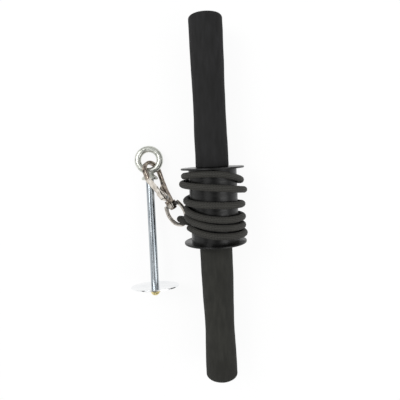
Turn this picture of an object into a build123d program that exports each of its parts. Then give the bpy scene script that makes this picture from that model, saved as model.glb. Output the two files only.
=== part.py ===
from build123d import *
import math
import os

os.makedirs("parts", exist_ok=True)

# Wrist roller: a foam grip bar with a rope spool, a snap hook and a loading pin.
# Millimetres, +Z up, the bar lies along Y. Everything rests on the plane Z = 0.

# Bar and grips
BAR_LENGTH = 440.0
TUBE_R = 12.5
TUBE_WALL = 1.5
GRIP_R = 20.0
GRIP_END_ROUND = 4.0
GRIP_INNER_ROUND = 1.5
PLUG_HEAD = 4.0
PLUG_DEPTH = 16.0

# Spool
FLANGE_R = 38.0
FLANGE_T = 2.0
FLANGE_Y = 45.0
FLANGE_BOSS = 3.0
DRUM_R = 29.0
DRUM_WALL = 3.0

# Rope
ROPE_D = 8.0
ROPE_R = ROPE_D / 2
ROPE_CLEARANCE = 0.35
WOUND_R = 33.4
ANCHOR_X = 10.0
ANCHOR_Y = 37.0
ANCHOR_TOP = 20.6
ANCHOR_BEND = 8.0
STRAIGHT_END = ROPE_D
LOOP_SIDE = 7.8
LOOP_UP = 7.9
LOOP_CLIMB = 5.19

# Snap hook: base point of the swivel, heading of the hook, lean of its plane
HOOK_BASE_X = -52.0
HOOK_BASE_Y = -2.0
HOOK_BASE_Z = 13.43
HOOK_HEADING = 117.0
HOOK_LEAN = 58.0
HOOK_T = 6.2
HOOK_ROUND = 1.5
CROWN_A = 50.3
CROWN_W = 0.5
CROWN_OUT = 15.0
CROWN_IN = 10.7
WEB_T = 4.1
GATE_T = 6.4
GATE_SKIN = 1.4
GATE_WING = 1.0
PIVOT_A = 14.0
PIVOT_W = 3.7
PIVOT_R = 1.2
PIVOT_CLEARANCE = 0.05
NOSE_REACH = 34.2
NOSE_GAP = 0.3
SPRING_WIRE = 0.5
SPRING_R = 1.75
SPRING_PITCH = 0.64
SPRING_SLOT = 2.3

# Swivel
EYE_T = 5.0
EYE_ROUND = 2.1
SHANK_R = 3.0
SHANK_CLEARANCE = 0.08
COLLAR_R = 6.75
COLLAR_NEAR = 4.15
COLLAR_FAR = 6.3
RIVET_HEAD_R = 4.7
LOOP_A = -24.7
LOOP_H = 5.0

# Loading pin
RING_X = -78.9
RING_Y = 57.9
RING_Z = 9.45
PIN_TILT = 7.36
RING_MAJOR = 13.9
RING_WIRE_R = 4.1
COLLAR_TOP = 16.0
EYE_COLLAR_R = 10.0
EYE_COLLAR_END = 25.0
ROD_R = 5.0
ROD_START = 18.0
DISC_AT = 159.8
DISC_R = 30.0
DISC_T = 1.5
STUD_R = 3.2
STUD_LENGTH = 8.0
DISC_CLEARANCE = 0.1
NUT_AF = 11.1
NUT_HEX_T = 6.6
NUT_DOME_T = 4.2

# The disc rim and the spool flange are the outermost points across the bar
BAR_X = (DISC_R - RING_X - FLANGE_R) / 2
BAR_Z = FLANGE_R

# The wound rope leaves the drum where its straight run comes up to the loop through the eye
loop_top = HOOK_BASE_Z + LOOP_UP
leave_drop = BAR_Z - (loop_top - LOOP_CLIMB)
leave_turn = math.acos(leave_drop / math.hypot(WOUND_R, STRAIGHT_END))
LIFT_OFF = math.degrees(leave_turn - math.atan(STRAIGHT_END / WOUND_R))


def radial(angle):
    """Unit vector out of the bar's axis. 0 is down, 90 is the side of the loading pin."""
    turn = math.radians(angle)
    return Vector(-math.sin(turn), 0, -math.cos(turn))


def along_winding(angle):
    """Unit vector round the bar, the way the rope is wound."""
    turn = math.radians(angle)
    return Vector(-math.cos(turn), 0, math.sin(turn))


def on_winding(angle, y, radius):
    return Vector(BAR_X, y, BAR_Z) + radial(angle) * radius


def heading(stations, index):
    """Direction of the rope at one station, from the stations beside it."""
    before = stations[max(index - 1, 0)]
    after = stations[min(index + 1, len(stations) - 1)]
    swept = math.radians(after[0] - before[0])
    side = (after[1] - before[1]) / abs(swept)
    out = (after[2] - before[2]) / abs(swept)
    sign = 1 if swept > 0 else -1
    angle, y, radius = stations[index]
    if index in (0, len(stations) - 1):
        out = 0
    way = along_winding(angle) * radius * sign + Vector(0, side, 0) + radial(angle) * out
    return way.normalized()


def biarc(p0, t0, p1, t1):
    """Two arcs that leave p0 along t0 and reach p1 along t1."""
    chord = p1 - p0
    lean = t0 + t1
    spread = 2 * (1 - t0.dot(t1))
    across = chord.dot(lean)
    if spread < 1e-9:
        reach = chord.dot(chord) / (2 * across)
    else:
        reach = (math.sqrt(across**2 + spread * chord.dot(chord)) - across) / spread
    corner0 = p0 + t0 * reach
    corner1 = p1 - t1 * reach
    joint = (corner0 + corner1) * 0.5
    middle = (corner1 - corner0).normalized()
    return [Edge.make_tangent_arc(p0, t0, joint), Edge.make_tangent_arc(joint, middle, p1)]


def winding_edges(stations):
    places = [on_winding(*station) for station in stations]
    headings = [heading(stations, i) for i in range(len(stations))]
    edges = []
    for i in range(len(stations) - 1):
        edges += biarc(places[i], headings[i], places[i + 1], headings[i + 1])
    return edges, headings


def rope_along(path, radius=ROPE_R):
    section = Plane(origin=path @ 0, z_dir=path % 0) * Circle(radius)
    return sweep(section, path=path)


def ring_along_bar(y0, y1, outer, inner=0.0):
    """A round bar or ring round the bar's axis, from y0 to y1."""
    low = min(y0, y1)
    face = Circle(outer)
    if inner > 0:
        face -= Circle(inner)
    plane = Plane(origin=(BAR_X, low, BAR_Z), x_dir=(1, 0, 0), z_dir=(0, 1, 0))
    return extrude(plane * face, amount=abs(y1 - y0))


def on_y(solid, y):
    """The edges of a solid that lie in one plane across the bar."""
    return solid.edges().filter_by_position(Axis.Y, y - 0.01, y + 0.01)


parts = {}

# Steel tube of the bar
tube_end = BAR_LENGTH / 2 - PLUG_HEAD
parts["bar_tube"] = ring_along_bar(-tube_end, tube_end, TUBE_R, TUBE_R - TUBE_WALL)

# Foam grips and end plugs, one at each side of the spool
flange_out = FLANGE_Y + FLANGE_T / 2
flange_in = FLANGE_Y - FLANGE_T / 2
for name, side in (("upper", 1), ("lower", -1)):
    end = side * BAR_LENGTH / 2
    grip = ring_along_bar(side * flange_out, end, GRIP_R, TUBE_R)
    outer_rim = on_y(grip, end).sort_by(SortBy.RADIUS)[-1:]
    grip = fillet(outer_rim, GRIP_END_ROUND)
    inner_rim = on_y(grip, side * flange_out).sort_by(SortBy.RADIUS)[-1:]
    grip = fillet(inner_rim, GRIP_INNER_ROUND)
    parts[name + "_grip"] = grip
    head = ring_along_bar(side * tube_end, end, TUBE_R)
    stem = ring_along_bar(side * (tube_end - PLUG_DEPTH), side * tube_end, TUBE_R - TUBE_WALL)
    parts[name + "_end_plug"] = head + stem

# Spool flanges: a disc with a boss that plugs the drum
for name, side in (("upper", 1), ("lower", -1)):
    disc = ring_along_bar(side * flange_in, side * flange_out, FLANGE_R, TUBE_R)
    rims = disc.edges().filter_by(GeomType.CIRCLE).sort_by(SortBy.RADIUS)[-2:]
    disc = fillet(rims, 0.5)
    boss = ring_along_bar(side * (flange_in - FLANGE_BOSS), side * flange_in, DRUM_R - DRUM_WALL, TUBE_R)
    parts[name + "_flange"] = disc + boss

# Rope, first node: up through the drum wall, then five turns towards the lower flange.
# Each station is an angle round the bar, a place along it, and the radius of the rope's centre.
stations = [
    (0, ANCHOR_Y, WOUND_R),
    (90, 36.6, 34.3),
    (180, 37.6, 33.6),
    (270, 28.6, 33.5),
    (360, 28.2, 33.4),
    (450, 27.4, 37.2),
    (540, 23.6, 34.6),
    (630, 16.9, 37.0),
    (720, 12.4, 33.4),
    (810, 7.0, 33.4),
    (900, 3.5, 33.5),
    (990, 0.1, 34.2),
    (1080, -1.5, 33.4),
    (1170, -3.0, 33.4),
    (1260, -13.2, 33.5),
    (1350, -15.0, 34.2),
    (1440, -13.4, 33.4),
    (1530, -12.1, 33.4),
    (1620, -22.4, 33.5),
    (1710, -25.4, 34.0),
    (1800, -24.0, WOUND_R),
    (1800 + LIFT_OFF, -23.3, WOUND_R),
]
turns, ways = winding_edges(stations)
drum_entry = on_winding(*stations[0])
bend_end = Vector(BAR_X + ANCHOR_X - ANCHOR_BEND, drum_entry.Y, drum_entry.Z)
bend_start = Vector(BAR_X + ANCHOR_X, drum_entry.Y, drum_entry.Z + ANCHOR_BEND)
anchor = Vector(BAR_X + ANCHOR_X, drum_entry.Y, ANCHOR_TOP)
rise = Line(anchor, bend_start)
bend = Edge.make_tangent_arc(bend_start, Vector(0, 0, -1), bend_end)
entry = Line(bend_end, drum_entry)
lift = on_winding(*stations[-1])
winding_end = lift + ways[-1] * STRAIGHT_END
leave = Line(lift, winding_end)
winding_path = Wire([rise.edge(), bend, entry.edge()] + turns + [leave.edge()])
parts["rope_winding"] = rope_along(winding_path)

# Drum, with a hole where the rope goes in
drum = ring_along_bar(-flange_in, flange_in, DRUM_R, DRUM_R - DRUM_WALL)
hole_path = Wire([rise.edge(), bend, entry.edge()])
drum -= rope_along(hole_path, ROPE_R + ROPE_CLEARANCE)
parts["spool_drum"] = drum

# Knot on the end of the rope inside the drum
knot_height = 6.0
knot_place = Location((BAR_X + ANCHOR_X + 0.5, ANCHOR_Y - 2.6, ANCHOR_TOP + knot_height / 2))
knot = knot_place * Cylinder(6.5, knot_height)
knot = fillet(knot.edges().group_by(Axis.Z)[-1], 3.0)
knot = fillet(knot.edges().group_by(Axis.Z)[0], 1.2)
parts["rope_anchor_knot"] = knot

# Frame of the snap hook: a along the hook, w to the gate, n to the face that is seen
lean = math.radians(HOOK_LEAN)
course = math.radians(HOOK_HEADING)
base = Vector(BAR_X + HOOK_BASE_X, HOOK_BASE_Y, HOOK_BASE_Z)
hook_a = Vector(math.cos(course), math.sin(course), 0)
hook_side = Vector(-math.sin(course), math.cos(course), 0)
hook_w = hook_side * math.cos(lean) + Vector(0, 0, math.sin(lean))
hook_n = hook_a.cross(hook_w)
HOOK = Plane(origin=base, x_dir=hook_a, z_dir=hook_n)

# Swivel eye, flat, in a frame with x along the hook and y across it
EYE = Plane(origin=base, x_dir=hook_a, z_dir=Vector(0, 0, 1))
eye_out = [(4.0, 10.0), (0.0, 11.4), (-4.6, 12.5), (-9.5, 13.1), (-14.0, 12.7), (-18.8, 11.8)]
eye_out += [(-22.0, 10.6), (-25.6, 7.6), (-28.3, 4.2), (-29.5, 0.0)]
eye_in = [(-1.0, 6.4), (-4.6, 7.3), (-9.5, 7.9), (-14.0, 7.5), (-18.0, 6.5)]
eye_in += [(-21.4, 4.9), (-23.7, 2.6), (-24.5, 0.0)]


def mirrored_outline(points):
    """A closed smooth outline from one half of it."""
    other = [(x, -y) for x, y in reversed(points[:-1])]
    curve = Spline(*(points + other))
    return make_face(Wire([curve.edge(), Line(other[-1], points[0]).edge()]))


eye_face = mirrored_outline(eye_out) - mirrored_outline(eye_in)
eye = extrude(eye_face, amount=EYE_T / 2, both=True)
eye = fillet(eye.edges().filter_by(GeomType.BSPLINE), EYE_ROUND)
shank_hole = Plane(origin=(-6, 0, 0), x_dir=(0, 1, 0), z_dir=(1, 0, 0)) * Circle(SHANK_R + SHANK_CLEARANCE)
boss_disc = Plane(origin=(-1, 0, 0), x_dir=(0, 1, 0), z_dir=(1, 0, 0)) * Circle(5.2)
eye += extrude(boss_disc, amount=5)
eye -= extrude(shank_hole, amount=12)
parts["swivel_eye"] = EYE * eye

# Swivel shank, riveted over inside the eye and pressed into the hook
across_hook = Plane(origin=(-3.8, 0, 0), x_dir=(0, 1, 0), z_dir=(1, 0, 0))
rivet_head = extrude(across_hook * Circle(RIVET_HEAD_R), amount=2.65)
rivet_head = fillet(rivet_head.edges().group_by(Axis.X)[0], 1.6)
rivet = rivet_head + extrude(across_hook * Circle(SHANK_R), amount=12.6)
parts["swivel_rivet"] = HOOK * rivet
collar_plane = Plane(origin=(COLLAR_NEAR, 0, 0), x_dir=(0, 1, 0), z_dir=(1, 0, 0))
collar_ring = collar_plane * Circle(COLLAR_R) - collar_plane * Circle(SHANK_R)
collar = extrude(collar_ring, amount=COLLAR_FAR - COLLAR_NEAR)
collar = chamfer(collar.edges().filter_by(GeomType.CIRCLE).sort_by(SortBy.RADIUS)[-2:], 0.4)
parts["swivel_collar"] = HOOK * collar


def crown_point(radius, angle):
    turn = math.radians(angle)
    return (CROWN_A + radius * math.cos(turn), CROWN_W + radius * math.sin(turn))


def gate_line(a):
    """Height of the gate's outer face over the hook's axis."""
    return 5.4 + (a - 6.4) * 0.2952


# Hook body: the thick outline with crown and nose, and a thinner web under the gate
nose_out = (45.0, 17.45)
nose_in = (44.6, 12.55)
back = Polyline((COLLAR_FAR, 6.2), (COLLAR_FAR, -5.0), (20, -6.2), (34, -9.6), crown_point(CROWN_OUT, -105))
crown = ThreePointArc(crown_point(CROWN_OUT, -105), crown_point(CROWN_OUT, 0), crown_point(CROWN_OUT, 75))
nose = Polyline(crown_point(CROWN_OUT, 75), nose_out, nose_in, crown_point(CROWN_IN, 75))
throat = ThreePointArc(crown_point(CROWN_IN, 75), crown_point(CROWN_IN, 0), crown_point(CROWN_IN, -100))
rear_line = [crown_point(CROWN_IN, -100), (36, -6.6), (30.6, -3.6), (28.6, 0.3), (9.8, 0.3)]
rear_line += [(9.4, 7.2), (7.6, 7.6), (COLLAR_FAR, 6.2)]
rear = Polyline(*rear_line)
outline = Wire(back.edges() + crown.edges() + nose.edges() + throat.edges() + rear.edges())
body = extrude(make_face(outline), amount=HOOK_T / 2, both=True)
rim = body.edges().filter_by(GeomType.LINE).filter_by(Axis.Z, reverse=True)
rim += body.edges().filter_by(GeomType.CIRCLE)
keep_sharp = [e for e in rim if 9.0 < e.center().X < 29 and -0.5 < e.center().Y < 8]
soft = [e for e in rim if e not in keep_sharp and e.center().X > COLLAR_FAR + 0.1]
body = fillet(soft, HOOK_ROUND)
web = Polyline((9.0, -1.0), (28.0, -1.0), (28.2, 1.3), (20, 2.9), (16.4, 3.2), (9.0, 3.4), (9.0, -1.0))
web_solid = extrude(make_face(web), amount=WEB_T / 2, both=True)
web_solid += Location((PIVOT_A, PIVOT_W, 0)) * Cylinder(2.15, WEB_T)
slot_line = Polyline((11.6, 1.2), (24, 1.2), (24, 12), (11.6, 12), (11.6, 1.2))
slot = extrude(make_face(slot_line), amount=SPRING_SLOT / 2, both=True)
body += web_solid - slot
body -= Location((PIVOT_A, PIVOT_W, 0)) * Cylinder(PIVOT_R, 20)
body -= Location((3, 0, 0)) * Rotation(0, 90, 0) * Cylinder(SHANK_R, 11.6)
nose_keep = Location((PIVOT_A, PIVOT_W, 0)) * Cylinder(NOSE_REACH, 20)
nose_zone = Location((CROWN_A - 8, 20, 0)) * Box(20, 20, 20)
body -= nose_keep & nose_zone
parts["hook_body"] = HOOK * body

# Gate: a folded channel with a thumb ledge, its ears on the pivot pin
ear = 3.2
ledge_top = (14.3, gate_line(14.3) + 1.7)
ledge_end = (24.4, gate_line(24.4))
ledge = Polyline(ledge_top, (15.4, gate_line(15.4) + 2.0), (22.4, gate_line(22.4) + 2.0), ledge_end)
gate_end = PIVOT_A + NOSE_REACH
wing_top = (27.0, gate_line(27.0) - 3.1)
strip = Polyline(ledge_end, (gate_end, gate_line(gate_end)), (gate_end, gate_line(gate_end) - 3.1), wing_top)
wing_line = [wing_top, (16.0, PIVOT_W - 2.5), (14.3, PIVOT_W - ear + 0.2)]
wing_line += [(12.4, gate_line(14.3) - 1.5), ledge_top]
wing = Polyline(*wing_line)
gate_side = make_face(Wire(ledge.edges() + strip.edges() + wing.edges()))
gate_side += Location((PIVOT_A, PIVOT_W)) * Circle(ear)
gate = extrude(gate_side, amount=GATE_T / 2, both=True)
skin_depth = GATE_SKIN / math.cos(math.atan(0.2952))
under_start = (8.0, gate_line(8.0) - skin_depth)
under_line = [under_start, (gate_end, gate_line(gate_end) - skin_depth), (gate_end, -6.0), (8.0, -6.0)]
under = Polyline(*under_line, under_start)
gate -= extrude(make_face(under), amount=GATE_T / 2 - GATE_WING, both=True)
gate -= Location((PIVOT_A, PIVOT_W, 0)) * Cylinder(PIVOT_R + PIVOT_CLEARANCE, 20)
gate = gate & (Location((PIVOT_A, PIVOT_W, 0)) * Cylinder(NOSE_REACH - NOSE_GAP, 20))
parts["hook_gate"] = HOOK * gate

# Pivot pin with two small heads
pivot = Location((PIVOT_A, PIVOT_W, 0)) * Cylinder(PIVOT_R, GATE_T + 0.4)
for side in (1, -1):
    pivot += Location((PIVOT_A, PIVOT_W, side * (GATE_T / 2 + 0.35))) * Cylinder(1.9, 0.5)
parts["gate_pin"] = HOOK * pivot

# Torsion spring on the pin, its legs in the web's slot and under the gate
first_turn = 81.4
sweep_turn = 270 - first_turn + 720
coil_height = SPRING_PITCH * sweep_turn / 360
coil_line = Helix(pitch=SPRING_PITCH, height=coil_height, radius=SPRING_R)
coil_section = Plane(origin=coil_line @ 0, z_dir=coil_line % 0) * Circle(SPRING_WIRE / 2)
coil = sweep(coil_section, path=coil_line, is_frenet=True)
coil = Location((PIVOT_A, PIVOT_W, -coil_height / 2)) * Rotation(0, 0, first_turn) * coil
spring = coil
spring_legs = ((first_turn, -coil_height / 2, 6.0, -1), (270.0, coil_height / 2, 7.0, 1))
for angle, height, length, sense in spring_legs:
    turn = math.radians(angle)
    foot = Vector(PIVOT_A + SPRING_R * math.cos(turn), PIVOT_W + SPRING_R * math.sin(turn), height)
    way = Vector(-math.sin(turn), math.cos(turn), 0) * sense
    start = foot - way * 0.3
    leg = extrude(Plane(origin=start, z_dir=way) * Circle(SPRING_WIRE / 2), amount=length)
    spring = spring + leg
parts["gate_spring"] = HOOK * spring

# Loading pin, in a frame with z down the rod and y out of the ring's plane
tilt = math.radians(PIN_TILT)
ring_centre = Vector(BAR_X + RING_X, RING_Y, RING_Z)
rod_way = Vector(0, -math.cos(tilt), math.sin(tilt))
PIN = Plane(origin=ring_centre, x_dir=(1, 0, 0), z_dir=rod_way)
ring = Rotation(90, 0, 0) * Torus(RING_MAJOR, RING_WIRE_R)
neck_line = [(0, 15.2), (4.6, 15.2), (5.0, COLLAR_TOP + 1.2), (6.2, 19.0), (8.1, 20.7)]
neck_line += [(EYE_COLLAR_R - 0.4, 22.2), (EYE_COLLAR_R, 22.8), (EYE_COLLAR_R, EYE_COLLAR_END - 0.5)]
neck_line += [(EYE_COLLAR_R - 0.5, EYE_COLLAR_END), (0, EYE_COLLAR_END), (0, 15.2)]
collar_face = Plane.XZ * make_face(Polyline(*neck_line))
lifting = ring + revolve(collar_face, axis=Axis.Z)
bore_length = EYE_COLLAR_END + 2 - ROD_START
lifting -= Location((0, 0, ROD_START + bore_length / 2)) * Cylinder(ROD_R, bore_length)
parts["lifting_eye"] = PIN * lifting

disc_under = DISC_AT + DISC_T / 2
rod = Location((0, 0, (ROD_START + disc_under) / 2)) * Cylinder(ROD_R, disc_under - ROD_START)
rod += Location((0, 0, disc_under + STUD_LENGTH / 2)) * Cylinder(STUD_R, STUD_LENGTH)
parts["load_rod"] = PIN * rod
disc = Location((0, 0, DISC_AT)) * (Cylinder(DISC_R, DISC_T) - Cylinder(ROD_R + DISC_CLEARANCE, DISC_T + 1))
disc = fillet(disc.edges().filter_by(GeomType.CIRCLE).sort_by(SortBy.RADIUS)[-2:], 0.3)
parts["load_disc"] = PIN * disc

# Domed cap nut on the stud: a hex whose far end is turned to a dome
corner = NUT_AF / math.sqrt(3)
nut_end = disc_under + NUT_HEX_T + NUT_DOME_T
dome_foot = (NUT_AF / 2, disc_under + NUT_HEX_T)
dome_round = (NUT_AF / 2 * 0.62, nut_end - NUT_DOME_T * 0.24)
side_points = [(0, nut_end), (0, disc_under), (corner - 0.5, disc_under), (corner, disc_under + 0.4)]
side_points += [(corner, disc_under + NUT_HEX_T - 0.7), dome_foot]
side_line = Polyline(*side_points)
dome_line = ThreePointArc(dome_foot, dome_round, (0, nut_end))
turned = revolve(Plane.XZ * make_face(Wire(side_line.edges() + dome_line.edges())), axis=Axis.Z)
hexagon = extrude(RegularPolygon(NUT_AF / 2, 6, major_radius=False), amount=NUT_HEX_T + NUT_DOME_T)
nut = Location((0, 0, disc_under)) * hexagon & turned
nut -= Location((0, 0, disc_under + STUD_LENGTH / 2)) * Cylinder(STUD_R, STUD_LENGTH)
parts["disc_nut"] = PIN * nut

# Rope, last node: under the drum and over its front to the cut end
tail_stations = [
    (0, -32.9, 33.4),
    (-90, -34.1, 35.6),
    (-180, -31.7, 33.7),
    (-211, -28.4, 33.5),
]
tail_turns, tail_ways = winding_edges(tail_stations)
tail_start = on_winding(*tail_stations[0])
tail_first = tail_start - tail_ways[0] * STRAIGHT_END
tail_stop = on_winding(*tail_stations[-1])
tail_last = tail_stop + tail_ways[-1] * STRAIGHT_END
tail_path = Wire([Line(tail_first, tail_start).edge()] + tail_turns + [Line(tail_stop, tail_last).edge()])
parts["rope_end_turn"] = rope_along(tail_path)

# Rope, middle node: over the far arm of the eye, down through it and back under the drum
loop_at = base + hook_a * LOOP_A + Vector(hook_a.Y, -hook_a.X, 0) * LOOP_H
loop_way = Vector(-0.94, 0.34, 0).normalized()
climb = (loop_top - winding_end.Z) / ways[-1].Z
loop_points = [
    winding_end,
    winding_end + ways[-1] * climb,
    loop_at + loop_way * LOOP_SIDE + Vector(0, 0, LOOP_UP),
    loop_at + loop_way * LOOP_SIDE - Vector(0, 0, LOOP_UP),
    tail_first - tail_ways[0] * 12.0,
    tail_first,
]


def corner_turn(points, index):
    first = (points[index] - points[index - 1]).normalized()
    second = (points[index + 1] - points[index]).normalized()
    return math.acos(max(-1, min(1, first.dot(second))))


# Each bend takes its share of the straight run before it and of the run after it
bend_shares = ((0.8, 0.25), (0.66, 0.46), (0.44, 0.45), (0.45, 0.45))
loop_radii = []
for i, (share_before, share_after) in enumerate(bend_shares, start=1):
    before = (loop_points[i] - loop_points[i - 1]).length * share_before
    after = (loop_points[i + 1] - loop_points[i]).length * share_after
    loop_radii.append(min(before, after) / math.tan(corner_turn(loop_points, i) / 2))
loop_radii = [min(r, 40.0) for r in loop_radii]
loop_path = FilletPolyline(*loop_points, radius=loop_radii)
parts["rope_loop"] = rope_along(loop_path)
print("rope loop radii", [round(r, 1) for r in loop_radii])
print("rope loop turns", [round(math.degrees(corner_turn(loop_points, i)), 1) for i in range(1, 5)])
print("rope loop runs", [round((loop_points[i + 1] - loop_points[i]).length, 1) for i in range(5)])

# Checks on the rope, printed: radii of the arcs, least gap to itself, lengths, volumes
arcs = [e for e in turns + tail_turns + [bend] if e.geom_type == GeomType.CIRCLE]
print("arc radii from", round(min(e.radius for e in arcs), 2), "to", round(max(e.radius for e in arcs), 2))
samples = []
travelled = 0.0
for path in (winding_path, loop_path.wire(), tail_path):
    count = int(path.length / 2.5)
    for i in range(count + 1):
        samples.append((travelled + path.length * i / count, path @ (i / count)))
    travelled += path.length
least = 1e9
for i, (s0, p0) in enumerate(samples):
    for s1, p1 in samples[i + 1:]:
        if s1 - s0 > 30:
            least = min(least, (p1 - p0).length)
print("least gap of the rope to itself", round(least - ROPE_D, 2))
print("rope length", round(travelled, 1))
rope_paths = (("rope_winding", winding_path), ("rope_loop", loop_path.wire()), ("rope_end_turn", tail_path))
for name, path in rope_paths:
    expected = path.length * math.pi * ROPE_R**2
    print(name, "length", round(path.length, 1), "volume / expected", round(parts[name].volume / expected, 4))



def in_metres(place):
    return [round(v / 1000, 5) for v in tuple(place)]


def rounded(way):
    return [round(v, 5) for v in tuple(way)]


# Places and axes of the joints, in metres
print("bar axis x", BAR_X / 1000)
print("eye_swing", in_metres(loop_at), "axis", (round(hook_a.Y, 5), round(-hook_a.X, 5), 0))
print("hook_swivel", in_metres(base), "axis", rounded(hook_a))
print("ring_turn", in_metres(ring_centre), "axis", (0, round(-math.sin(tilt), 5), round(-math.cos(tilt), 5)))
print("gate_pivot", in_metres(base + hook_a * PIVOT_A + hook_w * PIVOT_W), "axis", rounded(hook_n))
print("rod way", rounded(rod_way), "disc", in_metres(ring_centre + rod_way * DISC_AT))

for name, part in parts.items():
    export_step(part, f"parts/{name}.step")
    box = part.bounding_box()
    low, high = box.min, box.max
    sides = ("x", round(low.X, 2), round(high.X, 2), "y", round(low.Y, 2), round(high.Y, 2))
    print(name, round(part.volume, 1), *sides, "z", round(low.Z, 2), round(high.Z, 2))
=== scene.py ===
# %% [markdown]
# # A wrist roller with its loading pin
# This lesson dresses a finished CAD model for a photograph-like picture. The object is a foam
# grip bar with a rope spool in its middle. A snap hook at the end of the rope carries a loading
# pin, which is a rod with a lifting eye at its top and a disc for weight plates at its foot.
# The CAD solids give every size and place. Blender adds what CAD can't: foam, braided rope,
# plated metal, light and a camera. Everything is in metres, with Z up and the bar along Y.

# %% The frame
import math

import bmesh
import bpy
import numpy as np
from mathutils import Matrix, Vector, noise


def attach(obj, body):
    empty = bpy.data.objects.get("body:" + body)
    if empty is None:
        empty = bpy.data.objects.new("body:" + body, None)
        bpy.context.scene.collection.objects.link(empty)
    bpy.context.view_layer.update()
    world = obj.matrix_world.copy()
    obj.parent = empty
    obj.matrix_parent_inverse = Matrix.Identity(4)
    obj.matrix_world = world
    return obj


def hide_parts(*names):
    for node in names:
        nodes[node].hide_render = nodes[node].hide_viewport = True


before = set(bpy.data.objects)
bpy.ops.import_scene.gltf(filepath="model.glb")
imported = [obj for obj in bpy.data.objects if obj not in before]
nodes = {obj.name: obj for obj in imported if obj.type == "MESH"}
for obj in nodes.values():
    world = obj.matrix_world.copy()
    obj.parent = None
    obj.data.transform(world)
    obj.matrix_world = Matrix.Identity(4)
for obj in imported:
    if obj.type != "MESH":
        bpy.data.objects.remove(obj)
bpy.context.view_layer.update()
MM = 0.001
print("CAD solids:", len(nodes))

# %% [markdown]
# ## The camera
# The photograph looks almost straight down on the object, as on a table. The bar's far end is
# a little smaller than its near end, and the bottom end swings to the right. A camera 520 mm up
# with a wide lens, tipped by 6.7 degrees and rolled by 3 degrees, gives both. A matrix of the
# camera's own right, up and back directions is clearer here than three angles, because each
# direction can be read off: a camera looks along its own minus Z.

# %% Camera
CAMERA_PLACE = Vector((18.75, 63.5, 520.0)) * MM
TIP = math.radians(6.7)
ROLL = math.radians(3.0)
across = Vector((1, 0, 0))
down = Vector((0, -math.cos(TIP), math.sin(TIP)))
back = Vector((0, math.sin(TIP), math.cos(TIP)))
camera_right = across * math.cos(ROLL) + down * math.sin(ROLL)
camera_up = across * math.sin(ROLL) - down * math.cos(ROLL)

lens = bpy.data.cameras.new("photo_camera")
lens.lens = 36.0
lens.sensor_width = 36.0
lens.clip_start = 0.01
camera = bpy.data.objects.new("photo_camera", lens)
bpy.context.scene.collection.objects.link(camera)
turn = Matrix((camera_right, camera_up, back)).transposed()
camera.matrix_world = Matrix.Translation(CAMERA_PLACE) @ turn.to_4x4()
bpy.context.scene.camera = camera
print("camera at", [round(v, 3) for v in CAMERA_PLACE])

# %% [markdown]
# ## The rope's route
# The rope is a limp 8 mm braid, about 1.3 m long. It starts in a knot inside the drum, comes
# out of a hole in the drum, and goes round it five times. Then it runs through the eye of the
# snap hook, comes back under the drum, and goes over the front once more beside the fifth turn.
# It is cut off at the drum's left edge.
#
# A rope like this could be a bevelled curve, but the braid needs its own surface, so the curve
# only gives the line. It is one smooth NURBS spline. Its control points are the turning points
# of the route, and for the turns round the drum a loop puts 16 points in each turn. A smooth
# spline cuts inside its control points, so those of the turns sit a little further out.

# %% Route of the rope
BAR_X, BAR_Z = 35.45, 38.0
# Angle round the bar in degrees, place along the bar, and radius of the rope's centre
WOUND_TURNS = [
    (0, 37.0, 33.4), (90, 36.6, 34.3), (180, 39.6, 33.6), (270, 28.6, 33.5), (360, 28.2, 33.4),
    (450, 27.4, 37.2), (540, 23.6, 34.6), (630, 16.9, 37.0), (720, 12.4, 33.4), (810, 7.0, 33.4),
    (900, 3.5, 33.5), (990, 0.1, 34.2), (1080, -1.5, 33.4), (1170, -3.0, 33.4), (1260, -13.2, 33.5),
    (1350, -15.0, 34.2), (1440, -13.4, 33.4), (1530, -12.1, 33.4), (1620, -22.4, 33.5),
    (1710, -25.4, 34.0), (1800, -24.0, 33.4), (1837, -23.3, 33.4),
]
END_TURN = [
    (0, -32.9, 33.4), (-90, -35.0, 35.6), (-180, -32.4, 33.7), (-211, -29.0, 33.5), (-236, -25.3, 33.5),
]
# Other places on the route, as x, y and z
IN_DRUM = [(45.45, 37.0, 20.6), (44.6, 37.0, 5.4)]
BEFORE_EYE = [(4.6, -23.6, 20.6)]
# The rope turns half round in the eye: middle of that turn, its radius, and its way out from the drum
IN_EYE, EYE_TURN_R, EYE_WAY = (-0.89, -21.73, 13.43), 7.9, (-0.94, 0.34)
AFTER_EYE = [(1.6, -23.6, 4.8), (9.5, -28.4, 4.5), (18.5, -32.6, 4.6)]
CUT_END = (3.5, -23.6, 49.6)
TURN_POINTS = 16


def slope(stations, index, item):
    """How fast one item of the stations changes with the angle, at one station."""
    before = stations[max(index - 1, 0)]
    after = stations[min(index + 1, len(stations) - 1)]
    return (after[item] - before[item]) / (after[0] - before[0])


def eased(stations, angle, item):
    """One item of the stations at any angle, on a smooth curve through them."""
    rising = stations[-1][0] > stations[0][0]
    index = 0
    while index < len(stations) - 2 and (angle > stations[index + 1][0]) == rising:
        index += 1
    here, beyond = stations[index], stations[index + 1]
    span = beyond[0] - here[0]
    t = (angle - here[0]) / span
    from_here = (2 * t**3 - 3 * t**2 + 1) * here[item]
    from_here += (t**3 - 2 * t**2 + t) * span * slope(stations, index, item)
    from_beyond = (3 * t**2 - 2 * t**3) * beyond[item]
    from_beyond += (t**3 - t**2) * span * slope(stations, index + 1, item)
    return from_here + from_beyond


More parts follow.
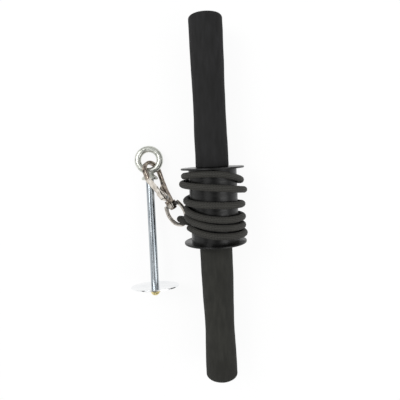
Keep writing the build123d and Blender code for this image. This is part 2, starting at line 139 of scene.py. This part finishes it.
def turns_round_drum(stations):
    """Control points of the turns, 16 in each turn, set out so that the spline keeps the radius."""
    swept = stations[-1][0] - stations[0][0]
    count = math.ceil(abs(swept) * TURN_POINTS / 360)
    points = []
    for k in range(count):
        angle = stations[0][0] + swept * (k + 0.5) / count
        radius = eased(stations, angle, 2) / math.cos(math.radians(swept / count / 2))
        lean = math.radians(angle)
        along = eased(stations, angle, 1)
        points.append((BAR_X - radius * math.sin(lean), along, BAR_Z - radius * math.cos(lean)))
    return points


def half_turn_in_eye():
    """Control points of the half turn in the eye, over its far side and down, 45 degrees apart."""
    reach = EYE_TURN_R / math.cos(math.radians(22.5))
    points = []
    for angle in np.radians([67.5, 22.5, -22.5, -67.5]):
        out, up = reach * math.cos(angle), reach * math.sin(angle)
        points.append((IN_EYE[0] + EYE_WAY[0] * out, IN_EYE[1] + EYE_WAY[1] * out, IN_EYE[2] + up))
    return points


through_eye = BEFORE_EYE + half_turn_in_eye() + AFTER_EYE
route = IN_DRUM + turns_round_drum(WOUND_TURNS) + through_eye + turns_round_drum(END_TURN) + [CUT_END]
print("control points of the rope:", len(route))

# %% Smooth line of the rope
line = bpy.data.curves.new("rope_line", "CURVE")
line.dimensions = "3D"
line.resolution_u = 14
spline = line.splines.new("NURBS")
spline.points.add(len(route) - 1)
for point, place in zip(spline.points, route):
    point.co = (*(Vector(place) * MM), 1)
spline.order_u = 3
spline.use_endpoint_u = True
line_object = bpy.data.objects.new("rope_line", line)
read = bpy.data.meshes.new_from_object(line_object)
rope_points = np.array([v.co for v in read.vertices])
bpy.data.objects.remove(line_object)
bpy.data.meshes.remove(read)
steps = np.linalg.norm(np.diff(rope_points, axis=0), axis=1)
rope_length = float(steps.sum())
print("rope length in mm:", round(rope_length / MM, 1), "from", len(rope_points), "points")

# %% [markdown]
# ## Colours and nodes
# Colours are written as the hex values that a picture shows. A shader works with linear light,
# so one function turns them. Every material is a small tree of nodes, and one function adds a
# node, gives its inputs their values and links what feeds them. Textures use object coordinates,
# which are metres here, so a scale of 1 / (size in metres) makes a pattern of that size.

# %% Helpers for materials
def linear(hex_colour):
    """An sRGB hex colour as linear red, green, blue and alpha."""
    levels = [int(hex_colour[i:i + 2], 16) / 255 for i in (1, 3, 5)]
    return (*[v / 12.92 if v <= 0.04045 else ((v + 0.055) / 1.055) ** 2.4 for v in levels], 1.0)


def add(tree, kind, inputs=None, **settings):
    """Adds a shader node. An input takes a value, or the socket of another node that feeds it."""
    made = tree.nodes.new("ShaderNode" + kind)
    for name, value in settings.items():
        setattr(made, name, value)
    for name, value in (inputs or {}).items():
        if isinstance(value, bpy.types.NodeSocket):
            tree.links.new(value, made.inputs[name])
        else:
            made.inputs[name].default_value = value
    return made


def new_finish(name, **values):
    """A material with its Principled shader, and the shader's plain values set."""
    made = bpy.data.materials.new(name)
    made.use_nodes = True
    shader = made.node_tree.nodes["Principled BSDF"]
    for socket, value in values.items():
        shader.inputs[socket.replace("_", " ").title().replace("Ior", "IOR")].default_value = value
    return made, made.node_tree, shader


def between(tree, factor, low, high, start=0.3, stop=0.7):
    """A colour that goes from low to high as a pattern goes from start to stop."""
    ramp = add(tree, "ValToRGB", {"Fac": factor})
    ramp.color_ramp.elements[0].position = start
    ramp.color_ramp.elements[0].color = linear(low)
    ramp.color_ramp.elements[1].position = stop
    ramp.color_ramp.elements[1].color = linear(high)
    return ramp.outputs["Color"]


def dress(material, *names):
    """Gives CAD solids this material."""
    for name in names:
        mesh = nodes[name].data
        mesh.materials.clear()
        mesh.materials.append(material)


# %% [markdown]
# ## Foam of the grips
# The grips are sleeves of black NBR foam, a closed-cell rubber foam, extruded as a tube and cut
# to length. Its skin is matt with pores of about 0.3 mm and faint lines along the tube. Pores of
# that size would vanish here, so they are drawn at 0.8 mm. A noise for the pores, a stretched
# noise for the lines and a broad one for handling marks are simple and hold from all sides.

# %% Foam material
def foam(name, dark, light):
    """Foam between two colours, with pores and the lines of its extrusion."""
    made, tree, shader = new_finish(name, roughness=0.82, ior=1.5)
    place = add(tree, "TexCoord").outputs["Object"]
    marks = add(tree, "TexNoise", {"Vector": place, "Scale": 1 / 0.045, "Detail": 3.0})
    stretched = add(tree, "Mapping", {"Vector": place, "Scale": (1 / 0.004, 1 / 0.02, 1 / 0.004)})
    lines = add(tree, "TexNoise", {"Vector": stretched.outputs["Vector"], "Scale": 1.0, "Detail": 2.0})
    pores = add(tree, "TexVoronoi", {"Vector": place, "Scale": 1 / 0.0008})
    blend = add(tree, "Math", {0: marks.outputs["Fac"], 1: lines.outputs["Fac"]}, operation="MULTIPLY_ADD")
    blend.inputs[2].default_value = 0.1
    tree.links.new(between(tree, blend.outputs[0], dark, light, 0.25, 0.62), shader.inputs["Base Color"])
    skin = add(tree, "Bump", {"Height": pores.outputs["Distance"], "Strength": 0.22, "Distance": 0.00025})
    drawn = add(tree, "Bump", {"Height": lines.outputs["Fac"], "Strength": 0.12, "Distance": 0.0002,
                               "Normal": skin.outputs["Normal"]})
    tree.links.new(drawn.outputs["Normal"], shader.inputs["Normal"])
    # The open pores swallow most of the gloss that a closed rubber skin would have
    shader.inputs["Specular IOR Level"].default_value = 0.2
    return made


upper_foam = foam("black_nbr_foam", "#1c1c1c", "#272728")
# The lower sleeve is drawn a lighter, more olive black than the upper one
lower_foam = foam("lighter_olive_nbr_foam", "#252522", "#33332f")

# %% [markdown]
# ## Shape of the grips
# A foam sleeve is a lathed form. Its wall is soft, so it isn't a true cylinder: it has a waist
# where hands squeeze it and slow waves along its length. A profile turned round the bar gives the
# sleeve with its bore and rounded ends, and small moves of its points give the softness.

# %% Foam grips
AROUND = 96


def grip_profile(side):
    """Half section of a sleeve, from the bore at the flange over the outside to the bore at the end."""
    near, far, outer, bore = 46.0, 220.0, 20.0, 12.55
    small, large = 1.5, 4.0
    section = [(near, bore), (near, 14.5), (near, 17.0)]
    for a in np.radians([0, 30, 60, 90]):
        section.append((near + small - small * math.cos(a), outer - small + small * math.sin(a)))
    section += [(y, outer) for y in np.arange(near + 3.5, far - 5, 2.0)]
    for a in np.radians([0, 15, 30, 45, 60, 75, 90]):
        section.append((far - large + large * math.sin(a), outer - large + large * math.cos(a)))
    section += [(far, 14.4), (far - 0.2, 13.0), (far - 0.7, bore)]
    return [(side * y, r) for y, r in section]


def soft_radius(y, radius, angle, waist_at, waist_depth):
    """The sleeve's radius with its waist and slow waves, which fade out towards the bore."""
    share = min(1.0, max(0.0, (radius - 14.0) / 5.0))
    waist = waist_depth * math.exp(-((y - waist_at) / 38.0) ** 2)
    wave = noise.noise(Vector((y / 26.0, 1.6 * math.cos(angle), 1.6 * math.sin(angle))))
    dent = noise.noise(Vector((y / 9.0 + 40.0, 3.0 * math.cos(angle), 3.0 * math.sin(angle))))
    return radius - share * (waist + 0.18 + 0.3 * wave + 0.1 * dent)


def lathed_grip(name, side, waist_at, waist_depth, finish):
    """One sleeve, on the plus or minus side of the spool, with its waist at a place along the bar."""
    shape = bmesh.new()
    rings = []
    for y, radius in grip_profile(side):
        ring = []
        for k in range(AROUND):
            angle = 2 * math.pi * k / AROUND
            soft = soft_radius(y, radius, angle, waist_at, waist_depth)
            place = Vector((BAR_X + soft * math.sin(angle), y, BAR_Z + soft * math.cos(angle))) * MM
            ring.append(shape.verts.new(place))
        rings.append(ring)
    for one, two in zip(rings, rings[1:] + rings[:1]):
        for k in range(AROUND):
            j = (k + 1) % AROUND
            shape.faces.new((one[k], one[j], two[j], two[k]))
    bmesh.ops.recalc_face_normals(shape, faces=shape.faces)
    mesh = bpy.data.meshes.new(name)
    shape.to_mesh(mesh)
    shape.free()
    mesh.materials.append(finish)
    mesh.shade_smooth()
    grip = bpy.data.objects.new(name, mesh)
    bpy.context.scene.collection.objects.link(grip)
    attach(grip, "roller")
    return grip


upper_sleeve = lathed_grip("upper_foam_sleeve", 1, 128.0, 0.7, upper_foam)
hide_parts("upper_grip")
lower_sleeve = lathed_grip("lower_foam_sleeve", -1, -148.0, 1.5, lower_foam)
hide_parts("lower_grip")
print("points in each sleeve:", len(upper_sleeve.data.vertices))

# %% [markdown]
# ## Braid of the rope
# The rope is a braided polyester cord. Sixteen bundles of yarn run round it, half of them each
# way, and cross over and under, so its surface is rows of small slanted cushions that look like
# knitting. The real bundles are about 1.6 mm wide. They are drawn at 2 mm here, as twelve
# columns, so that they show in the picture. A bump texture alone would leave the rope's edge
# smooth, and its edge is what shows against the drum. So the tube's own points carry the
# cushions: columns along the rope that lean left and right by turns, each cut by slanted grooves.

# %% Rope
ROPE_R = 3.92
COLUMNS = 12
POINTS_ROUND = 60
RING_STEP = 0.6
# In mm: a cushion's length along the rope, how far the grooves lie in from the rope's radius, the
# height of a crown over a groove, and the length of the rounded tip
CUSHION = 3.0
GROOVE_CUT = 0.4
CUSHION_RISE = 0.5
TIP_LENGTH = 1.8


def spaced(points, step):
    """Points at even distances along the line that was read from the spline."""
    run = np.concatenate([[0], np.cumsum(np.linalg.norm(np.diff(points, axis=0), axis=1))])
    wanted = np.linspace(0, run[-1], int(run[-1] / step) + 1)
    return np.stack([np.interp(wanted, run, points[:, i]) for i in range(3)], axis=1), wanted


def carried_frames(points):
    """Two directions across the line at each point, carried along it without twisting."""
    ways = np.gradient(points, axis=0)
    ways /= np.linalg.norm(ways, axis=1)[:, None]
    first = np.cross(ways[0], (0, 1, 0))
    first /= np.linalg.norm(first)
    across_line = [first]
    for way in ways[1:]:
        side = across_line[-1] - way * np.dot(across_line[-1], way)
        across_line.append(side / np.linalg.norm(side))
    across_line = np.array(across_line)
    return across_line, np.cross(ways, across_line)


def braid_height(travelled, angle):
    """Height of the yarn cushions in mm, 0 in a groove and 1 on a crown."""
    column = angle * COLUMNS / (2 * np.pi)
    local = column - np.floor(column) - 0.5
    lean = np.where(np.floor(column) % 2 == 0, 1.0, -1.0)
    along = travelled / CUSHION + lean * local * 0.8
    cushion = np.abs(np.sin(np.pi * along)) ** 0.6
    crown = 1 - (2 * local) ** 2 * 0.75
    return cushion * crown


centres, travelled = spaced(rope_points / MM, RING_STEP)
side_one, side_two = carried_frames(centres)
angles = np.arange(POINTS_ROUND) * 2 * np.pi / POINTS_ROUND
T, A = np.meshgrid(travelled, angles, indexing="ij")
radius = ROPE_R - GROOVE_CUT + CUSHION_RISE * braid_height(T, A)
# The cut end closes to a rounded tip, and the other end is flat inside the knot
left = travelled[-1] - T
radius *= np.sqrt(np.clip(1 - np.clip(1 - left / TIP_LENGTH, 0, 1) ** 2, 0.0004, 1))
skin = centres[:, None, :] + radius[:, :, None] * (
    np.cos(A)[:, :, None] * side_one[:, None, :] + np.sin(A)[:, :, None] * side_two[:, None, :])
skin_points = (skin * MM).reshape(-1, 3)
quads = []
for i in range(len(centres) - 1):
    a = i * POINTS_ROUND
    for k in range(POINTS_ROUND):
        j = (k + 1) % POINTS_ROUND
        quads.append((a + k, a + j, a + POINTS_ROUND + j, a + POINTS_ROUND + k))
quads.append(tuple(range(POINTS_ROUND - 1, -1, -1)))
quads.append(tuple((len(centres) - 1) * POINTS_ROUND + k for k in range(POINTS_ROUND)))
rope_mesh = bpy.data.meshes.new("braided_rope")
rope_mesh.from_pydata(skin_points.tolist(), [], quads)
rope_mesh.shade_smooth()
rope = bpy.data.objects.new("braided_rope", rope_mesh)
bpy.context.scene.collection.objects.link(rope)
print("rope points:", len(skin_points), "rings:", len(centres))

# %% Height of the braid as a colour, for painted shade in the grooves and painted highlight on the crowns
shade = rope_mesh.attributes.new("braid", "FLOAT", "POINT")
shade.data.foreach_set("value", braid_height(T, A).reshape(-1).astype(np.float32))

# %% [markdown]
# ## Yarn of the rope
# Polyester yarn, dyed black, reads as a warm dark grey because light gets into the fibres. The
# crowns of the braid get a painted highlight and the grooves painted shade; a soft sheen lights its edges.
# The heights of the braid are stored on the points, so the painted light and shade follows the cushions
# exactly.

# %% Rope material
yarn, tree, shader = new_finish("dyed_polyester_braid", roughness=0.72, ior=1.55)
height = add(tree, "Attribute", attribute_name="braid").outputs["Fac"]
place = add(tree, "TexCoord").outputs["Object"]
# Fibres of 0.02 mm are drawn at 0.35 mm so that they show
fibres = add(tree, "TexNoise", {"Vector": place, "Scale": 1 / 0.00035, "Detail": 4.0})
patches = add(tree, "TexNoise", {"Vector": place, "Scale": 1 / 0.02, "Detail": 2.0})
# Painted light and shade: the braid height makes the crowns lighter as painted highlight and the grooves
# darker as painted shade
braid_shade_and_fibres = add(tree, "Math", {0: fibres.outputs["Fac"], 1: 0.25, 2: height}, operation="MULTIPLY_ADD")
braid_shade_and_patches = add(tree, "Math", {0: patches.outputs["Fac"], 1: 0.35, 2: braid_shade_and_fibres.outputs[0]}, operation="MULTIPLY_ADD")
tree.links.new(between(tree, braid_shade_and_patches.outputs[0], "#0b0b0a", "#393834", 0.4, 1.2), shader.inputs["Base Color"])
thread = add(tree, "Bump", {"Height": fibres.outputs["Fac"], "Strength": 0.3, "Distance": 0.0002})
tree.links.new(thread.outputs["Normal"], shader.inputs["Normal"])
shader.inputs["Sheen Weight"].default_value = 0.04
shader.inputs["Sheen Roughness"].default_value = 0.45
shader.inputs["Specular IOR Level"].default_value = 0.25
rope_mesh.materials.append(yarn)
dress(yarn, "rope_anchor_knot")
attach(rope, "roller")
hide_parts("rope_winding", "rope_loop", "rope_end_turn")

# %% [markdown]
# ## Spool and end plugs
# The drum and its flanges are black ABS, injection moulded in a polished mould, so they are
# glossy with soft waves in the reflections and fine scratches from the rope. The plugs in the
# bar's ends are polyethylene, which is softer and duller.

# %% Moulded plastics
gloss_black, tree, shader = new_finish("moulded_black_abs", roughness=0.3, ior=1.54, specular_ior_level=0.3)
place = add(tree, "TexCoord").outputs["Object"]
rubbed = add(tree, "TexNoise", {"Vector": place, "Scale": 1 / 0.012, "Detail": 5.0})
round_way = add(tree, "Mapping", {"Vector": place, "Scale": (1 / 0.02, 1 / 0.0012, 1 / 0.02)})
scratches = add(tree, "TexNoise", {"Vector": round_way.outputs["Vector"], "Scale": 1.0, "Detail": 3.0})
tree.links.new(between(tree, rubbed.outputs["Fac"], "#080808", "#10100f"), shader.inputs["Base Color"])
dull = add(tree, "MapRange", {"Value": scratches.outputs["Fac"], "From Min": 0.35, "From Max": 0.75,
                              "To Min": 0.24, "To Max": 0.46})
tree.links.new(dull.outputs["Result"], shader.inputs["Roughness"])
wavy = add(tree, "Bump", {"Height": rubbed.outputs["Fac"], "Strength": 0.08, "Distance": 0.0006})
tree.links.new(wavy.outputs["Normal"], shader.inputs["Normal"])
dress(gloss_black, "spool_drum", "upper_flange", "lower_flange")

plug_black, tree, shader = new_finish("moulded_black_polyethylene", roughness=0.5, ior=1.51)
place = add(tree, "TexCoord").outputs["Object"]
grain = add(tree, "TexNoise", {"Vector": place, "Scale": 1 / 0.0009, "Detail": 2.0})
tree.links.new(between(tree, grain.outputs["Fac"], "#171717", "#242424"), shader.inputs["Base Color"])
pitted = add(tree, "Bump", {"Height": grain.outputs["Fac"], "Strength": 0.2, "Distance": 0.0002})
tree.links.new(pitted.outputs["Normal"], shader.inputs["Normal"])
dress(plug_black, "upper_end_plug", "lower_end_plug")

# %% [markdown]
# ## Plated metals
# The snap hook and its swivel eye are die-cast zinc with a polished nickel plating, warm and
# mirror-like, with a cast waviness that breaks up its reflections. The loading pin is mild steel
# with a clear zinc plating: cooler, bluish and duller, with lines along the drawn rod. The disc
# is plated sheet, almost white. The nut has a yellow zinc plating.

# %% Metal material
def plated(name, dark, light, roughness, patch_mm, wave_mm, wave_depth_mm,
           stretch=(1, 1, 1), rough_spread=0.08):
    """A plated metal. Stretch below 1 makes the pattern longer that way, as drawing the rod does."""
    made, tree, shader = new_finish(name, metallic=1.0, roughness=roughness)
    place = add(tree, "TexCoord").outputs["Object"]
    drawn = add(tree, "Mapping", {"Vector": place, "Scale": stretch})
    drawn_place = drawn.outputs["Vector"]
    patches = add(tree, "TexNoise", {"Vector": drawn_place, "Scale": 1000 / patch_mm, "Detail": 4.0})
    waves = add(tree, "TexNoise", {"Vector": drawn_place, "Scale": 1000 / wave_mm, "Detail": 2.0})
    tree.links.new(between(tree, patches.outputs["Fac"], dark, light), shader.inputs["Base Color"])
    dull = add(tree, "MapRange", {"Value": patches.outputs["Fac"], "From Min": 0.3, "From Max": 0.7,
                                  "To Min": roughness - rough_spread, "To Max": roughness + rough_spread})
    tree.links.new(dull.outputs["Result"], shader.inputs["Roughness"])
    depth = wave_depth_mm / 1000
    uneven = add(tree, "Bump", {"Height": waves.outputs["Fac"], "Strength": 1.0, "Distance": depth})
    tree.links.new(uneven.outputs["Normal"], shader.inputs["Normal"])
    return made


nickel = plated("polished_nickel_plate", "#b5ada2", "#f3ede4", 0.1, 5.0, 3.0, 0.22)
# The hook's body, collar and rivet are the same nickel plating, painted darker as a painted dark reflection
nickel_painted_dark = plated("nickel_plate_with_painted_dark_reflection", "#544846", "#b3a99b", 0.12, 4.0, 2.2, 0.22)
zinc_steel = plated("zinc_plated_drawn_steel", "#8b949b", "#c2c8cc", 0.26, 3.0, 2.0, 0.03,
                    stretch=(1, 0.04, 1))
zinc_cast = plated("zinc_plated_forged_steel", "#b9bcb3", "#e0e1da", 0.36, 4.0, 3.0, 0.06)
zinc_sheet = plated("bright_zinc_plated_sheet", "#e8eaec", "#f7f8f9", 0.1, 20.0, 15.0, 0.05,
                    rough_spread=0.04)
yellow_zinc = plated("yellow_zinc_plate", "#d2c083", "#efe3ab", 0.3, 3.0, 2.0, 0.04)
plain_steel = plated("bright_steel_wire", "#8d8d8c", "#bdbdbb", 0.25, 1.5, 1.0, 0.02)
dress(nickel, "hook_gate", "swivel_eye")
dress(nickel_painted_dark, "hook_body", "swivel_collar", "swivel_rivet")
dress(zinc_steel, "load_rod")
dress(zinc_cast, "lifting_eye")
dress(zinc_sheet, "load_disc")
dress(yellow_zinc, "disc_nut")
dress(plain_steel, "gate_pin", "gate_spring", "bar_tube")

# %% [markdown]
# ## Floor
# The photograph is on plain white, with hardly a shadow. The floor is a white sheet. A share of
# what the camera and mirrors see of it is plain white light, so it stays white, and the rest is
# ordinary matt white that keeps the object's shadow.

# %% Floor
floor_mesh = bpy.data.meshes.new("studio_floor")
shape = bmesh.new()
bmesh.ops.create_grid(shape, x_segments=8, y_segments=8, size=3.0)
shape.to_mesh(floor_mesh)
shape.free()
floor = bpy.data.objects.new("studio_floor", floor_mesh)
floor.location.z = -0.0002
bpy.context.scene.collection.objects.link(floor)
paper = bpy.data.materials.new("white_paper_floor")
paper.use_nodes = True
tree = paper.node_tree
matt = tree.nodes["Principled BSDF"]
matt.inputs["Base Color"].default_value = linear("#f4f4f4")
matt.inputs["Roughness"].default_value = 0.9
rays = add(tree, "LightPath")
camera_ray = rays.outputs["Is Camera Ray"]
glossy_ray = rays.outputs["Is Glossy Ray"]
passing_ray = rays.outputs["Is Transmission Ray"]
seen = add(tree, "Math", {0: camera_ray, 1: glossy_ray}, operation="MAXIMUM")
seen = add(tree, "Math", {0: seen.outputs[0], 1: passing_ray}, operation="MAXIMUM")
GLOW_SHARE = 0.9
share = add(tree, "Math", {0: seen.outputs[0], 1: GLOW_SHARE}, operation="MULTIPLY")
glow = add(tree, "Emission", {"Color": linear("#ffffff"), "Strength": 1.0})
both = add(tree, "MixShader", {0: share.outputs[0], 1: matt.outputs["BSDF"], 2: glow.outputs["Emission"]})
tree.links.new(both.outputs["Shader"], tree.nodes["Material Output"].inputs["Surface"])
floor_mesh.materials.append(paper)

# %% [markdown]
# ## Light
# The light is soft and comes from all around, as in a light tent, with a large lamp on the upper
# left. Polished metal shows what stands round it, and in a plain white tent it would look like
# paper. So reflections see a tent with grey gaps between its bright sides, which gives the hook
# and the rod their dark and light streaks. The camera itself sees plain white behind everything.

# %% World and lamps
world = bpy.data.worlds.new("light_tent")
bpy.context.scene.world = world
world.use_nodes = True
tree = world.node_tree
tree.nodes.clear()
way = add(tree, "TexCoord").outputs["Generated"]
slanted = add(tree, "VectorMath", {0: way, 1: (0.88, 0.47, 0.0)}, operation="DOT_PRODUCT")
sweep_across = add(tree, "MapRange", {"Value": slanted.outputs["Value"], "From Min": -1.0, "From Max": 1.0})
tent = add(tree, "ValToRGB", {"Fac": sweep_across.outputs["Result"]})
stops = [(0.0, "#ffffff"), (0.08, "#ffffff"), (0.11, "#28292b"), (0.15, "#3a3b3d"), (0.19, "#ffffff"),
         (0.36, "#ffffff"), (0.42, "#55575a"), (0.55, "#26282a"), (0.62, "#e8e8e8"), (0.74, "#ffffff"),
         (0.79, "#2c2e30"), (0.85, "#f0f0f0"), (1.0, "#909090")]
while len(tent.color_ramp.elements) < len(stops):
    tent.color_ramp.elements.new(0.5)
for element, (position, colour) in zip(tent.color_ramp.elements, stops):
    element.position = position
    element.color = linear(colour)
rays = add(tree, "LightPath")
around_light = add(tree, "Background", {"Color": linear("#ffffff"), "Strength": 0.85})
mirrored = add(tree, "Background", {"Color": tent.outputs["Color"], "Strength": 1.0})
behind = add(tree, "Background", {"Color": linear("#ffffff"), "Strength": 1.0})
glossy_ray = rays.outputs["Is Glossy Ray"]
lit = add(tree, "MixShader", {0: glossy_ray, 1: around_light.outputs[0], 2: mirrored.outputs[0]})
straight_rays = {0: rays.outputs["Is Camera Ray"], 1: rays.outputs["Is Transmission Ray"]}
plain = add(tree, "Math", straight_rays, operation="MAXIMUM")
shown = add(tree, "MixShader", {0: plain.outputs[0], 1: lit.outputs[0], 2: behind.outputs[0]})
add(tree, "OutputWorld", {"Surface": shown.outputs[0]})


def soft_lamp(name, place, target, size, power):
    """A square lamp that looks at a target, with its size in metres and its power in watts."""
    lamp = bpy.data.lights.new(name, "AREA")
    lamp.shape = "SQUARE"
    lamp.size = size
    lamp.energy = power
    made = bpy.data.objects.new(name, lamp)
    made.location = place
    made.rotation_euler = (Vector(target) - Vector(place)).to_track_quat("-Z", "Y").to_euler()
    bpy.context.scene.collection.objects.link(made)


BAR_MIDDLE = (0.0, 0.0, 0.03)
soft_lamp("key_lamp", (-0.7, 0.5, 1.1), BAR_MIDDLE, 0.6, 6.5)
soft_lamp("fill_lamp", (0.9, -0.3, 0.9), BAR_MIDDLE, 0.7, 3.2)
bpy.context.scene.view_settings.view_transform = "Standard"
